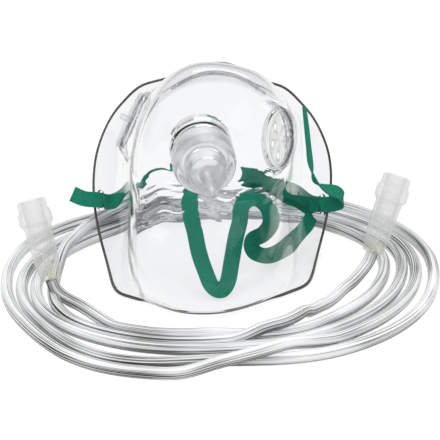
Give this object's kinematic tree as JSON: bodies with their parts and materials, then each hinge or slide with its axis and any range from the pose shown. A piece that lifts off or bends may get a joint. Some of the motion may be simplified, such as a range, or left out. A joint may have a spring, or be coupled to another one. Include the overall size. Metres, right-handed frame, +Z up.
{
  "type": "oxygen face mask with coiled supply tubing",
  "caption": "Disposable clear oxygen face mask with side vents, nose clip, head strap and stepped port connector, lying beside its coiled supply tubing with an end connector on each end.",
  "frame": {"origin": "under the middle of the mask, its connector and its strap, on the surface that it lies on", "axes": "+X across the face to the right as seen from the chin, +Y from the chin back to the nose bridge, +Z up"},
  "size_m": [0.1961, 0.193, 0.0945],
  "materials": {
    "clear_pvc": "glossy clear flexible vinyl",
    "grey_clear_plastic": "glossy translucent grey plastic",
    "aluminium_strip": "plain soft strip",
    "green_elastic": "flat woven elastic",
    "clear_tubing": "glossy clear flexible vinyl",
    "frosted_vinyl": "frosted translucent soft vinyl"
  },
  "bodies": {
    "root": {"mask_shell": "clear_pvc", "nose_clip": "aluminium_strip", "port_connector": "grey_clear_plastic", "elastic_strap": "green_elastic", "tubing_coil": "clear_tubing", "tubing_lead_left": "clear_tubing", "tubing_lead_right": "clear_tubing", "tubing_connector_left": "frosted_vinyl", "tubing_connector_right": "frosted_vinyl"}
  },
  "joints": []
}
